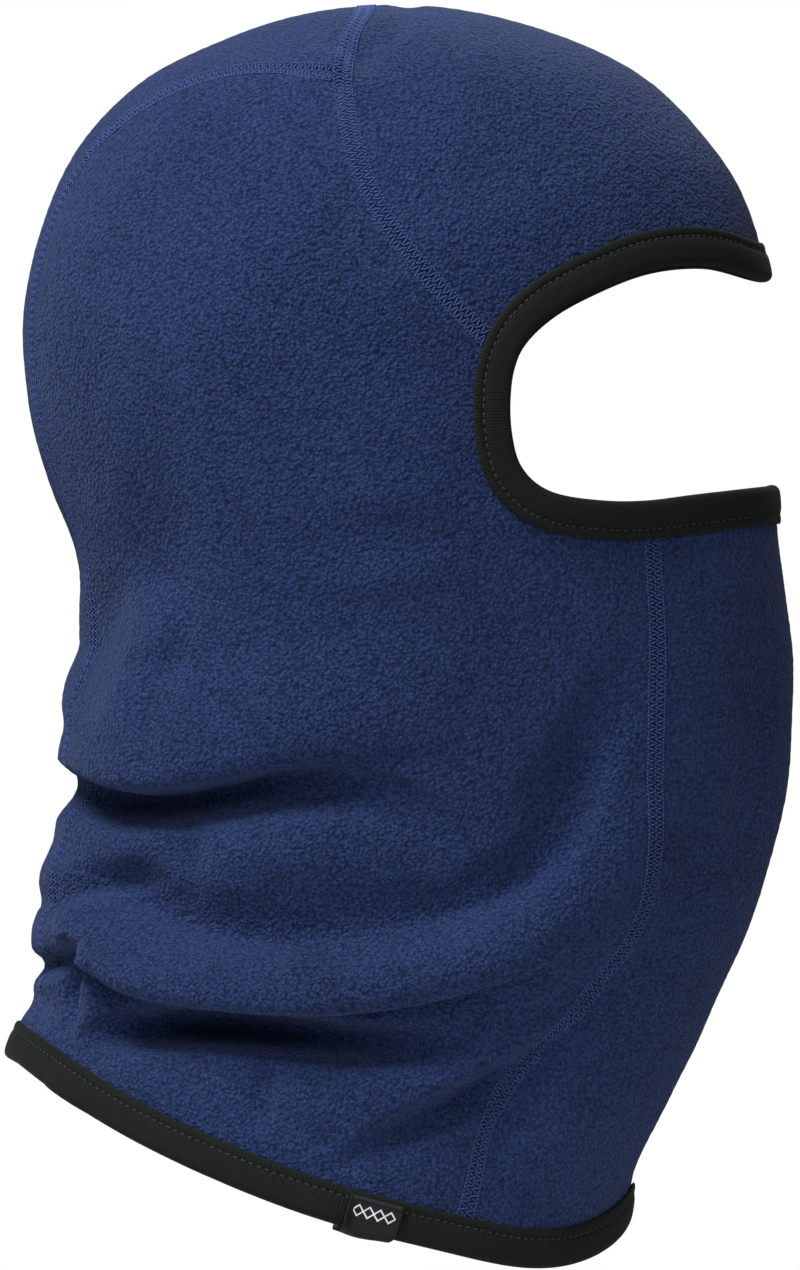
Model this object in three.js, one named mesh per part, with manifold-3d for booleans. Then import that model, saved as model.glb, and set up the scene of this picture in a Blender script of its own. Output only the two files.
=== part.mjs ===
// A fleece balaclava for skiing, as worn on an upright head: five fleece panels joined by flat seams,
// a stretch binding round the face opening and another round the slanted hem, and two woven labels.
// Millimetres. +X is the way the wearer looks, +Y is the wearer's left, +Z is up.
// The origin is where the top of the head touches the inside of the crown.
import * as THREE from 'three';
import { mergeVertices } from 'three/addons/utils/BufferGeometryUtils.js';
import Module from 'manifold-3d';

const wasm = await Module();
wasm.setup();

// Driving dimensions
const fleece = 2.0;             // thickness of the cloth
const gap = 0.3;                // left between pieces that are sewn together
const around = 40;              // facets round the head
const down = 20;                // facets from the crown to the hem
const binding = { width: 10, proud: 0.9, stitchIn: 2.5 };
const seam = { width: 5, thick: 0.5 };
const topstitch = { width: 1.0, thick: 0.5 };
const loopLabel = { from: -12.5, to: 3.2, thick: 0.8, clear: 1.1, drop: 0.13 };
const bartack = { inset: 2.5, width: 0.1, up: 15.2 };
const careLabel = { from: -72, to: -46, top: 12.9, bottom: 14.6, thick: 0.5 };
const reach = 260;              // length of a cutting block, more than the hood is wide
const slant = 26;               // how much lower the hem hangs at the side than front and back
const scoop = 0.12;             // how gently the hem turns up at the middle of the front

// Sections through the hood, crown to hem. Each one is a tilted ring, as
// [back x, back z, front x, front z, half width, how much narrower the face side is].
const sections = [
  [0, 2, 0, 2, 0, 0],
  [-24.8, -0.5, 24.8, -0.5, 21, 0],
  [-48.7, -7.8, 48.7, -7.8, 40, 0.01],
  [-70, -19.5, 70.5, -19.5, 56, 0.03],
  [-87.5, -36.5, 88, -36.5, 68, 0.05],
  [-98.6, -58, 100.3, -58, 76, 0.07],
  [-103.7, -82, 105.6, -82, 79.5, 0.08],
  [-103, -109, 107, -109, 80, 0.1],
  [-96, -134, 106.6, -135, 78.5, 0.13],
  [-88.6, -156, 109, -160, 75.5, 0.16],
  [-89.3, -178, 111.2, -186, 73, 0.16],
  [-91.5, -201, 110, -214, 71, 0.15],
  [-94.5, -224, 103.5, -243, 70, 0.13],
  [-98.5, -247, 92, -272, 70, 0.12],
  [-102, -266, 78, -303, 71.5, 0.1],
  [-106, -280.5, 67.5, -327, 74, 0.08],
  [-107.5, -290.5, 67, -337, 75, 0.06],
];
const hem = sections.length - 1;
const bindingTop = hem - 1;
const slantStart = 9;           // section where the rings begin to dip at the sides

// Outlines in side view, [x, z]
const faceOutline = [[140, -72], [102, -65], [86, -61], [69, -62.5], [51, -69.5], [38, -77], [28.5, -86.5],
  [23.5, -97.5], [22, -109], [23.5, -120.5], [27.5, -131], [34.5, -138.5], [44, -144.5], [57, -147.5],
  [71, -147.5], [87, -145.5], [108, -143], [140, -142]];
const foreheadSeam = [[-2, 14], [-9, -1.5], [-12.5, -8], [-14.3, -20], [-12.6, -33], [-9.2, -45.6],
  [-1.4, -61], [9.8, -75.6], [23.8, -90.4], [44, -110]];
const chinSeam = [[73, -120], [72, -148], [73, -185], [71.4, -227], [66.6, -254], [54, -275], [38, -293],
  [27, -309], [22, -327], [15, -350], [8, -374]];
// Outline in plan view, [x, y], of one edge of the strip that runs from the crown down the back
const gussetSeam = [[-6, 57], [-14, 55.5], [-35, 45.5], [-53, 36.5], [-69, 29], [-85, 22], [-97, 20], [-140, 20]];

// The hood's outer surface

const phantom = [24.8, -0.5, -24.8, -0.5, -21, 0];

function section(r) {
  const i = Math.min(Math.floor(r), hem - 1);
  const t = r - i;
  const before = i > 0 ? sections[i - 1] : phantom;
  const [from, to] = [sections[i], sections[i + 1]];
  const after = i + 2 <= hem ? sections[i + 2] : to.map((v, k) => 2 * v - from[k]);
  return from.map((p, k) => {
    const [a, b] = [(to[k] - before[k]) / 2, (after[k] - p) / 2];
    return (2 * p - 2 * to[k] + a + b) * t ** 3 + (3 * to[k] - 3 * p - 2 * a - b) * t ** 2 + a * t + p;
  });
}

// A point of the surface. r counts sections down from the crown, angle is 0 at the face and pi at the back.
function hoodPoint(r, angle) {
  const [backX, backZ, frontX, frontZ, half, narrow] = section(r);
  const [c, s] = [Math.cos(angle), Math.sin(angle)];
  const sideways = (Math.hypot(s, scoop) - scoop) / (Math.hypot(1, scoop) - scoop);
  const dip = slant * THREE.MathUtils.smoothstep(r, slantStart, hem) * sideways ** (1.1 - 0.4 * c);
  return new THREE.Vector3(
    (frontX + backX) / 2 + (frontX - backX) / 2 * c,
    half * s * (1 - narrow * c),
    (frontZ + backZ) / 2 + (frontZ - backZ) / 2 * c - dip,
  );
}

// The same point moved out along the surface's normal.
function hoodPointAt(r, angle, out) {
  const step = 0.01;
  if (r < step) return new THREE.Vector3(0, 0, sections[0][1] + out);
  const inner = Math.min(r, hem - step);
  const alongR = hoodPoint(inner + step, angle).sub(hoodPoint(inner - step, angle));
  const alongA = hoodPoint(inner, angle + step).sub(hoodPoint(inner, angle - step));
  const end = hoodPoint(Math.min(r, hem), angle);
  const beyond = alongR.clone().setLength(Math.max(0, r - hem) * binding.width);
  return end.add(beyond).addScaledVector(alongR.cross(alongA).normalize(), out);
}

// Solids

function toSolid(geometry) {
  geometry.deleteAttribute('normal');
  geometry.deleteAttribute('uv');
  const merged = mergeVertices(geometry, 1e-4);
  const corners = [];
  const index = merged.index.array;
  for (let i = 0; i < index.length; i += 3) {
    const [a, b, c] = [index[i], index[i + 1], index[i + 2]];
    if (a !== b && b !== c && c !== a) corners.push(a, b, c);
  }
  return new wasm.Manifold(new wasm.Mesh({
    numProp: 3,
    vertProperties: Float32Array.from(merged.attributes.position.array),
    triVerts: Uint32Array.from(corners),
  }));
}

// A closed profile of [r, out] points, down the inside and up the outside, turned once and laid on the hood.
function wrapped(profile) {
  const lathe = new THREE.LatheGeometry(profile.map(([r, out]) => new THREE.Vector2(r, out)), around);
  const place = lathe.attributes.position;
  for (let i = 0; i < place.count; i++) {
    const [across, out, ahead] = [place.getX(i), place.getY(i), place.getZ(i)];
    const point = hoodPointAt(Math.hypot(across, ahead), Math.atan2(across, ahead), out);
    place.setXYZ(i, point.x, point.y, point.z);
  }
  return toSolid(lathe);
}

// A layer over the hood between two heights, from section `top` to section `bottom`.
function layer(top, bottom, inner, outer) {
  const rows = Math.max(2, Math.round((bottom - top) * down / hem));
  const steps = Array.from({ length: rows + 1 }, (_, i) => top + (bottom - top) * i / rows);
  const inside = steps.map((r) => [r, inner]);
  const outside = steps.map((r) => [r, outer]).reverse();
  const ring = [...inside, ...outside];
  return wrapped(top > 0 ? [...ring, inside[0]] : ring);
}

const toVectors = (points) => points.map(([a, b]) => new THREE.Vector2(a, b));
const smooth = (points, count) => new THREE.SplineCurve(toVectors(points)).getSpacedPoints(count);

// The line moved sideways, to the left of its direction when by is positive.
function offsetLine(line, by) {
  return line.map((point, i) => {
    const ahead = line[Math.min(i + 1, line.length - 1)];
    const behind = line[Math.max(i - 1, 0)];
    const along = new THREE.Vector2().subVectors(ahead, behind).normalize();
    return new THREE.Vector2(point.x - along.y * by, point.y + along.x * by);
  });
}

const strip = (line, width) => [...offsetLine(line, width / 2), ...offsetLine(line, -width / 2).reverse()];

// A block whose outline is drawn in plan view, and one whose outline is drawn in side view.
function planBlock(outline) {
  const block = new THREE.ExtrudeGeometry(new THREE.Shape(outline), { depth: 2 * reach, bevelEnabled: false });
  return toSolid(block.translate(0, 0, -1.6 * reach));
}

function sideBlock(outline, depth = reach, start = -reach / 2) {
  const block = new THREE.ExtrudeGeometry(new THREE.Shape(outline), { depth, bevelEnabled: false });
  return toSolid(block.rotateX(Math.PI / 2).translate(0, start + depth, 0));
}

// The lines that the pieces share

const faceLine = smooth(faceOutline, 40);
const foreheadLine = smooth(foreheadSeam, 18);
const chinLine = smooth(chinSeam, 18);
const gussetLine = smooth(gussetSeam, 12);
const gussetMirror = gussetLine.map((p) => new THREE.Vector2(p.x, -p.y));

const faceHole = (inward) => sideBlock(offsetLine(faceLine, inward));
const farCorners = toVectors([[160, 40], [160, -400]]);
const aheadOfForehead = sideBlock([...foreheadLine, toVectors([[160, -110]])[0], farCorners[0]]);
const aheadOfChin = sideBlock([...chinLine, farCorners[1], toVectors([[160, -120]])[0]]);
const betweenGussets = planBlock([...gussetLine, ...gussetMirror.slice().reverse()]).subtract(aheadOfForehead);
const leftHalf = sideBlock(toVectors([[-160, -400], [160, -400], [160, 40], [-160, 40]]), reach, 0);
const gussetStrips = (width) => planBlock(strip(gussetLine, width))
  .add(planBlock(strip(gussetMirror, width))).subtract(aheadOfForehead);

// The five fleece panels, cut from one shell along the seams

const cuts = sideBlock(strip(foreheadLine, gap)).add(sideBlock(strip(chinLine, gap))).add(gussetStrips(gap));
const fleeceEnd = bindingTop - gap / binding.width;
const cloth = layer(0, fleeceEnd, -fleece, 0).subtract(faceHole(-gap)).subtract(cuts);
const sides = cloth.subtract(aheadOfForehead).subtract(aheadOfChin).subtract(betweenGussets);

// Bindings folded over the raw edges, with the stitch line that holds each one

const bandIn = -fleece - binding.proud;
const stitchBase = binding.proud + gap;
const stitchTop = stitchBase + topstitch.thick;
const faceBinding = layer(3, 11, bandIn, binding.proud).intersect(faceHole(0)).subtract(faceHole(binding.width));
const faceStitchLayer = layer(3, 11, stitchBase, stitchTop);
const faceStitch = faceStitchLayer.intersect(faceHole(binding.stitchIn))
  .subtract(faceHole(binding.stitchIn + topstitch.width));
const hemBinding = layer(bindingTop, hem, bandIn, binding.proud);
const hemStitchAt = bindingTop + binding.stitchIn / binding.width;
const hemStitch = layer(hemStitchAt, hemStitchAt + topstitch.width / binding.width, stitchBase, stitchTop);

// Seam threads: flat strips that cover each join on the outside

const seamLayer = layer(0, fleeceEnd, gap, gap + seam.thick).subtract(faceHole(-gap));
const foreheadCover = sideBlock(strip(foreheadLine, seam.width));
const foreheadThread = seamLayer.intersect(foreheadCover);
const chinThreads = seamLayer.intersect(sideBlock(strip(chinLine, seam.width)));
const gussetThreads = seamLayer.intersect(gussetStrips(seam.width))
  .subtract(sideBlock(strip(foreheadLine, seam.width + 2 * gap)));

// Labels: a woven loop round the hem binding, its bar of stitches, and a plain care label inside

function band(from, to, profile) {
  const window = toVectors([[from, -400], [to, -400], [to, -200], [from, -200]]);
  return wrapped(profile).intersect(sideBlock(window));
}

const leaf = binding.proud + loopLabel.clear;
const [tagTop, tagLow] = [bindingTop + 0.02, hem + loopLabel.drop];
const [frontLeaf, backLeaf] = [leaf + loopLabel.thick, -fleece - leaf - loopLabel.thick];
const tagFold = tagLow + loopLabel.thick / binding.width;
const loopProfile = [[tagTop, leaf], [tagLow, leaf], [tagLow, -fleece - leaf], [tagTop, -fleece - leaf],
  [tagTop, backLeaf], [tagFold, backLeaf], [tagFold, frontLeaf], [tagTop, frontLeaf], [tagTop, leaf]];
const loop = band(loopLabel.from, loopLabel.to, loopProfile).subtract(leftHalf);
const [barBase, barTop] = [frontLeaf + gap, frontLeaf + gap + topstitch.thick];
const barLow = bartack.up + bartack.width;
const barProfile = [[bartack.up, barBase], [barLow, barBase], [barLow, barTop], [bartack.up, barTop],
  [bartack.up, barBase]];
const bar = band(loopLabel.from + bartack.inset, loopLabel.to - bartack.inset, barProfile).subtract(leftHalf);
const careRows = [0, 0.5, 1].map((t) => THREE.MathUtils.lerp(careLabel.top, careLabel.bottom, t));
const careInside = careRows.map((r) => [r, -fleece - gap - careLabel.thick]);
const careProfile = [...careInside, ...careRows.map((r) => [r, -fleece - gap]).reverse(), careInside[0]];
const care = band(careLabel.from, careLabel.to, careProfile).intersect(leftHalf);

// The finished pieces

const finishes = {
  fleece: { color: 0x2a3a63, roughness: 0.95, metalness: 0 },
  tape: { color: 0x16191b, roughness: 0.85, metalness: 0 },
  navyThread: { color: 0x2f4274, roughness: 0.7, metalness: 0 },
  blackThread: { color: 0x0f1214, roughness: 0.7, metalness: 0 },
  woven: { color: 0x1a1c20, roughness: 0.6, metalness: 0 },
  satin: { color: 0xe9e9e6, roughness: 0.5, metalness: 0 },
};

const pieces = [
  ['forehead_panel', cloth.intersect(aheadOfForehead), finishes.fleece],
  ['back_gusset', cloth.intersect(betweenGussets), finishes.fleece],
  ['side_panel_left', sides.intersect(leftHalf), finishes.fleece],
  ['side_panel_right', sides.subtract(leftHalf), finishes.fleece],
  ['chin_panel', cloth.intersect(aheadOfChin), finishes.fleece],
  ['face_binding', faceBinding, finishes.tape],
  ['hem_binding', hemBinding, finishes.tape],
  ['forehead_seam_thread', foreheadThread, finishes.navyThread],
  ['gusset_seam_thread_left', gussetThreads.intersect(leftHalf), finishes.navyThread],
  ['gusset_seam_thread_right', gussetThreads.subtract(leftHalf), finishes.navyThread],
  ['chin_seam_thread_left', chinThreads.intersect(leftHalf), finishes.navyThread],
  ['chin_seam_thread_right', chinThreads.subtract(leftHalf), finishes.navyThread],
  ['face_binding_topstitch', faceStitch, finishes.blackThread],
  ['hem_binding_topstitch', hemStitch, finishes.blackThread],
  ['loop_label', loop, finishes.woven],
  ['loop_label_bartack', bar, finishes.blackThread],
  ['care_label', care, finishes.satin],
];

const balaclava = new THREE.Group();
for (const [name, solid, finish] of pieces) {
  const { vertProperties, triVerts } = solid.getMesh();
  const geometry = new THREE.BufferGeometry();
  geometry.setAttribute('position', new THREE.BufferAttribute(vertProperties, 3));
  geometry.setIndex(new THREE.BufferAttribute(triVerts, 1));
  geometry.computeVertexNormals();
  const mesh = new THREE.Mesh(geometry, new THREE.MeshStandardMaterial(finish));
  mesh.name = name;
  balaclava.add(mesh);
}

export default balaclava;
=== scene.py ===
import math
import bpy
import bmesh
import numpy as np
from mathutils import Matrix, Vector, noise


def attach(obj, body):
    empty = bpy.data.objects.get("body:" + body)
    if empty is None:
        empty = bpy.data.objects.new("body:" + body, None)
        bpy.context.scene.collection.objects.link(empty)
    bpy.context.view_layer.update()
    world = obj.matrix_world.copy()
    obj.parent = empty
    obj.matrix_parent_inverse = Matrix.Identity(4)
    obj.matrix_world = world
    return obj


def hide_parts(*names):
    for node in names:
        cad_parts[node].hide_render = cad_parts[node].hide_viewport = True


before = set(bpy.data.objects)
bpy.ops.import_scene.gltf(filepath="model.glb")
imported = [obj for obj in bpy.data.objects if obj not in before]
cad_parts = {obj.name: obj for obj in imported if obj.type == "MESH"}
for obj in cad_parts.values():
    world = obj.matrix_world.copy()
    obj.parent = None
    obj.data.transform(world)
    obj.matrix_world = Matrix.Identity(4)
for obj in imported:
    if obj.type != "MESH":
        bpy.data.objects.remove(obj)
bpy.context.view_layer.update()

mm = 0.001

# the form of the worn hood
# Sections from the crown to the hem, each a tilted ring in mm:
# back x, back z, front x, front z, half width, how much narrower the face side is
sections = np.array([
    [0, 2, 0, 2, 0, 0],
    [-24.8, -0.5, 24.8, -0.5, 21, 0],
    [-48.7, -7.8, 48.7, -7.8, 40, 0.01],
    [-70, -19.5, 70.5, -19.5, 56, 0.03],
    [-87.5, -36.5, 88, -36.5, 68, 0.05],
    [-98.6, -58, 100.3, -58, 76, 0.07],
    [-103.7, -82, 105.6, -82, 79.5, 0.08],
    [-103, -109, 107, -109, 80, 0.1],
    [-96, -134, 106.6, -135, 78.5, 0.13],
    [-88.6, -156, 109, -160, 75.5, 0.16],
    [-89.3, -178, 111.2, -186, 73, 0.16],
    [-91.5, -201, 110, -214, 71, 0.15],
    [-94.5, -224, 103.5, -243, 70, 0.13],
    [-98.5, -247, 92, -272, 70, 0.12],
    [-101, -266, 77.4, -303.2, 71.5, 0.1],
    [-105, -282.8, 66.2, -327.8, 74, 0.08],
    [-108.6, -295.5, 72, -349.4, 75, 0.06],
])
beforeCrown = np.array([[24.8, -0.5, -24.8, -0.5, -21, 0]])
hem = len(sections) - 1
# how far the sides of the hem hang below its front and back, mm, from which section on, and how it varies
hood = dict(slant=22.5, lean=3.4, slantStart=9, scoop=0.35, dropAhead=6.6, aheadAt=0.8, aheadReach=0.3,
            liftBehind=1.2, behindAt=-0.38, behindReach=0.4, curve=1.1, curveLean=0.3)
sectionRows = np.vstack([beforeCrown, sections, 2 * sections[-1:] - sections[-2:-1]])


# Between the middle two of each four neighbouring rows, a share t of the way along
def smoothBetween(rows, i, t):
    before, start, end, after = (rows[i + k] for k in range(4))
    a, b = (end - before) / 2, (after - start) / 2
    t = t[:, None]
    return (2 * start - 2 * end + a + b) * t**3 + (3 * end - 3 * start - 2 * a - b) * t**2 + a * t + start


def sectionAt(r):
    i = np.clip(np.floor(r).astype(int), 0, hem - 1)
    return smoothBetween(sectionRows, i, r - i)


# A spot is (ahead, across): the hood laid flat as a disc, its radius counted in sections
def bareHood(spot):
    r = np.maximum(np.hypot(spot[:, 0], spot[:, 1]), 1e-9)
    c, s = spot[:, 0] / r, spot[:, 1] / r
    backX, backZ, frontX, frontZ, half, narrow = sectionAt(r).T
    k = np.clip((r - hood["slantStart"]) / (hem - hood["slantStart"]), 0, 1)
    scoop = hood["scoop"]
    sideways = (np.hypot(s, scoop) - scoop) / (np.hypot(1, scoop) - scoop)
    ahead = np.exp(-((c - hood["aheadAt"]) / hood["aheadReach"]) ** 2)
    behind = np.exp(-((c - hood["behindAt"]) / hood["behindReach"]) ** 2)
    slant = hood["slant"] + hood["lean"] * c - hood["liftBehind"] * behind + hood["dropAhead"] * ahead
    dip = slant * k * k * (3 - 2 * k) * sideways ** (hood["curve"] - hood["curveLean"] * c)
    return np.stack([(frontX + backX) / 2 + (frontX - backX) / 2 * c,
                     half * s * (1 - narrow * c),
                     (frontZ + backZ) / 2 + (frontZ - backZ) / 2 * c - dip], axis=1)


def slopeNormal(surface, spot, step=0.02):
    ahead = surface(spot + (step, 0)) - surface(spot - (step, 0))
    across = surface(spot + (0, step)) - surface(spot - (0, step))
    n = np.cross(ahead, across)
    return n / np.linalg.norm(n, axis=1)[:, None]


def smoothLine(points, count):
    p = np.array(points, float)
    rows = np.vstack([2 * p[:1] - p[1:2], p, 2 * p[-1:] - p[-2:-1]])
    at = np.linspace(0, len(p) - 1, count)
    i = np.clip(np.floor(at).astype(int), 0, len(p) - 2)
    return smoothBetween(rows, i, at - i)


# folds
# Each fold runs along a path of [x, z, lift] in side view, mm. It fades over `up` above the path and
# `low` below it; a shape under 1 makes that edge crisp. `sag` lets the cloth hang over what is below.
folds = [
    # the soft bulge at the nape and the tuck under it
    dict(path=[[-108, -196, -1], [-97, -198, -2], [-88, -202, 3], [-74, -206, 8], [-55, -204.5, 8],
               [-36, -200.5, 6], [-17, -198, 4], [2, -196, 2],
               [22, -195, 0]], up=24, low=12, upShape=1.5, lowShape=0.7, sag=6),
    dict(path=[[-110, -214, -2], [-97, -215, -3.5], [-88, -217, -7], [-76, -220, -13], [-62, -219.5, -13.5],
               [-45, -217.5, -11.5], [-26, -216.5, -8], [-8, -218, -4.5], [5, -223, -3], [15, -234, -1.5],
               [26, -246, 0]], up=7, low=11, upShape=1, lowShape=2, sag=0),
    dict(path=[[-104, -188, 4.5], [-92, -189, 4.5], [-84, -190, 1.5], [-78, -192, 0]],
         up=13, low=12, upShape=1.8, lowShape=1.8, sag=0),
    # the big roll round the neck, with a crisp top and a deep tuck under it
    dict(path=[[-84, -254, 3], [-79, -259, 7], [-70, -265, 10], [-58, -268, 11], [-44, -269.5, 11],
               [-30, -270.5, 10.5], [-14, -270.5, 9], [4, -268, 7], [20, -264, 4.5], [34, -259, 2.5],
               [48, -251, 0]],
         up=8.5, low=8, upShape=0.55, lowShape=0.5, sag=6.5),
    dict(path=[[-12, -267, 0], [10, -266, 3], [28, -261, 5.5], [44, -253, 6], [56, -244, 5], [64, -231, 3],
               [69, -215, 0]], up=12, low=22, upShape=1.2, lowShape=1.5, sag=1),
    dict(path=[[-82, -243, -2], [-72, -247.5, -5.5], [-62, -252.5, -6], [-49, -256, -5], [-30, -258, -3.5],
               [-5, -255, -2.5], [18, -250, -3], [36, -242, -3.5], [48, -231, -3], [56, -214, -2],
               [63, -192, 0]], up=13, low=5, upShape=2, lowShape=1.2, sag=0),
    dict(path=[[-89, -292, -3], [-82, -286.5, -7], [-75, -283.5, -13], [-62, -281.5, -18],
               [-48, -281.5, -18.5],
               [-34, -283, -17], [-18, -285.5, -12.5], [-2, -287.5, -8.5], [12, -288, -4], [26, -288, 0]],
         up=5, low=10, upShape=0.8, lowShape=1.8, sag=0),
    # small lobes where the roll runs out at the back
    dict(path=[[-110, -243, 2.2], [-98, -243, 2.2], [-90, -244, 1], [-84, -245, 0]],
         up=12, low=8, upShape=1.8, lowShape=1.8, sag=0),
    dict(path=[[-110, -257, 1], [-100, -257, 1.5], [-93, -256.5, 3.5], [-87, -254, 3.5], [-81, -249, 0]],
         up=7, low=6.5, upShape=1.2, lowShape=0.7, sag=1),
    dict(path=[[-104, -246, 0], [-97, -247.5, -1], [-90, -247, -3], [-82, -244, -3.5], [-72, -242, -2],
               [-62, -240, 0]], up=8, low=4, upShape=2, lowShape=1.2, sag=0),
    dict(path=[[-112, -268, -4], [-104, -267.5, -4], [-98, -266, -4.5], [-91, -264.5, -5.5],
               [-85, -260, -3.5],
               [-81, -256, 0]], up=3.5, low=6, upShape=1, lowShape=1.6, sag=0),
    dict(path=[[-112, -278, -7], [-102, -278, -5.5], [-96, -279, -2], [-92, -279, 0]],
         up=8, low=6, upShape=1.6, lowShape=1.6, sag=0),
    dict(path=[[-86, -258, 2], [-90, -265, 3.5], [-95, -271, 3], [-99, -278, 0.5], [-103, -285, 0]],
         up=5, low=5, upShape=1, lowShape=1, sag=0),
    dict(path=[[-84, -257, 0], [-86.5, -266, -4], [-89, -274, -4.5], [-90.5, -282, -3.5], [-93, -290, 0]],
         up=3, low=3, upShape=1.6, lowShape=1.6, sag=0),
    dict(path=[[-80, -258, 1], [-82, -267, 4], [-84, -277, 4.5], [-86, -286, 3], [-88, -293, 0]],
         up=4.5, low=4.5, upShape=1, lowShape=1, sag=0),
    # the long slanting crease up from the hem to the chin seam
    dict(path=[[-22, -318, 0], [-6, -309, 2], [10, -300, 4], [24, -291.5, 4], [38, -283, 2.5],
               [50, -272, 0]],
         up=20, low=7, upShape=1.8, lowShape=1, sag=0),
    dict(path=[[-26, -329, 0], [-17, -323.5, -3], [-4, -315, -5], [10, -307, -5.5], [24, -299.5, -4.5],
               [38, -292, -2.5], [52, -281, 0]], up=5, low=9, upShape=1.2, lowShape=2, sag=0),
    # small lumps over the hem binding
    dict(path=[[-84, -288, 0], [-76, -291, 2.5], [-66, -299, 3], [-56, -306, 1], [-50, -310, 0]],
         up=6, low=6, upShape=1.6, lowShape=1.6, sag=0),
    dict(path=[[-58, -292, 0], [-50, -302, 2.5], [-45, -311, 1.5], [-41, -317, 0]],
         up=6, low=5, upShape=1.5, lowShape=1.2, sag=0),
    dict(path=[[-37, -290, 0], [-36.5, -299, -3], [-37.5, -308, -3], [-39, -316, 0]],
         up=5, low=5, upShape=1.6, lowShape=1.6, sag=0),
    dict(path=[[-33, -297, 0], [-27, -305, 2.5], [-21, -310, 1.5], [-12, -313, 0]],
         up=7, low=5, upShape=1.6, lowShape=1.4, sag=0),
    dict(path=[[-24, -313, 0], [-19, -315, -2.5], [-14, -317, 0]],
         up=4, low=4, upShape=1.6, lowShape=1.6, sag=0),
    # hollows by the chin seam and the front of the neck
    dict(path=[[34, -236, 0], [42, -225, -2.5], [50, -211, -3], [57, -198, -2.5], [64, -186, -1],
               [70, -172, 0]], up=13, low=13, upShape=2, lowShape=2, sag=0),
    dict(path=[[44, -292, 0], [36, -303, -2], [30, -313, -3], [27, -323, -3], [26, -334, -2.5],
               [26, -342, 0]], up=8, low=9, upShape=1.8, lowShape=1.8, sag=0),
    dict(path=[[58, -300, 0], [48, -312, 2.5], [42, -324, 3], [38, -336, 0]],
         up=14, low=12, upShape=2, lowShape=2, sag=0),
    dict(path=[[99, -165, 0], [101, -185, -1.5], [101, -205, -2], [98, -228, -1.5], [92, -248, 0]],
         up=7, low=9, upShape=2, lowShape=2, sag=0),
    # the bulky meeting of the seams at the crown, and soft dents beside it
    dict(path=[[-28, -11, 0], [-17, -16, 2], [-11, -21, 2], [-8, -30, 0]],
         up=6, low=6, upShape=1.8, lowShape=1.8, sag=0),
    dict(path=[[6, 6, 0], [2, -3, -1.6], [-4, -9, -1.8], [-10, -16, -1.2], [-13, -26, 0]],
         up=5, low=6, upShape=1.8, lowShape=1.8, sag=0),
    dict(path=[[-66, -105, 0], [-67, -122, -1.2], [-66, -140, -1.8], [-63, -158, -1.5], [-60, -175, 0]],
         up=14, low=12, upShape=2, lowShape=2, sag=0),
    dict(path=[[-20, -139, 0], [0, -136, 1], [18, -139, 0]], up=9, low=9, upShape=2, lowShape=2, sag=0),
    dict(path=[[-34, -156, 0], [-6, -159, 1.2], [20, -155, 0]], up=9, low=8, upShape=2, lowShape=2, sag=0),
    # the gathered ridge above the nape and the hollow behind it
    dict(path=[[-64, -160, 0], [-67, -172, 2.5], [-71, -183, 3.5], [-74, -193, 2.5], [-75, -202, 0]],
         up=10, low=8, upShape=1.6, lowShape=1.6, sag=0),
    dict(path=[[-76, -155, 0], [-80, -166, -2.5], [-84, -177, -3], [-87, -187, -2], [-89, -195, 0]],
         up=7, low=8, upShape=1.8, lowShape=1.8, sag=0),
    # the broad low swell between the two rolls, with a shallow hollow beside it
    dict(path=[[-56, -236, 0], [-42, -235, 2.5], [-26, -235, 3], [-8, -236, 2], [8, -237, 0]],
         up=14, low=13, upShape=2, lowShape=2, sag=0),
    dict(path=[[-60, -222, 0], [-58, -232, -1.5], [-57, -241, -1.5], [-56, -250, 0]],
         up=7, low=8, upShape=1.8, lowShape=1.8, sag=0),
]
for fold in folds:
    fold["line"] = smoothLine(fold["path"], 8 * len(fold["path"]))


def alongLine(line, points):
    # Signed distance to the left of the line, the line's own value there, and the way across it.
    start, step = line[:-1, :2], np.diff(line[:, :2], axis=0)
    length = np.linalg.norm(step, axis=1)
    away = points[:, None, :] - start[None]
    t = np.clip((away * step[None]).sum(2) / (length**2)[None], 0, 1)
    gap = away - t[:, :, None] * step[None]
    far = np.linalg.norm(gap, axis=2)
    k = far.argmin(axis=1)
    row = np.arange(len(points))
    side = np.sign(step[k, 0] * gap[row, k, 1] - step[k, 1] * gap[row, k, 0])
    value = line[k, 2] + t[row, k] * (line[k + 1, 2] - line[k, 2])
    leftward = np.stack([-step[k, 1], step[k, 0]], axis=1) / length[k, None]
    return far[row, k] * side, value, leftward


foldMap = dict(low=np.array([-130.0, -360.0]), step=0.5, cells=(520, 744))
mapX = foldMap["low"][0] + foldMap["step"] * np.arange(foldMap["cells"][0])
mapZ = foldMap["low"][1] + foldMap["step"] * np.arange(foldMap["cells"][1])
mapX, mapZ = np.meshgrid(mapX, mapZ, indexing="ij")
mapPlaces = np.stack([mapX, mapZ], axis=2)
foldHeights = np.zeros(foldMap["cells"] + (3,))      # lift, then the sag along x and z
for fold in folds:
    line, reach = fold["line"], max(fold["up"], fold["low"])
    low, high = line[:, :2].min(axis=0) - reach, line[:, :2].max(axis=0) + reach
    near = ((mapPlaces > low) & (mapPlaces < high)).all(axis=2)
    far, value, leftward = alongLine(line, mapPlaces[near])
    above = far > 0
    s = np.where(above, far / fold["up"], -far / fold["low"])
    rise = value * np.maximum(1 - s * s, 0) ** np.where(above, fold["upShape"], fold["lowShape"])
    pull = -fold["sag"] * rise / abs(line[:, 2]).max()
    foldHeights[near] += np.column_stack([rise, pull[:, None] * leftward])


# The wearer's left side drapes a little differently: its folds are moved by these, mm
drape = dict(full=75, alongX=7, waveZ=31, alongZ=5, waveX=37, shift=3)


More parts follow.
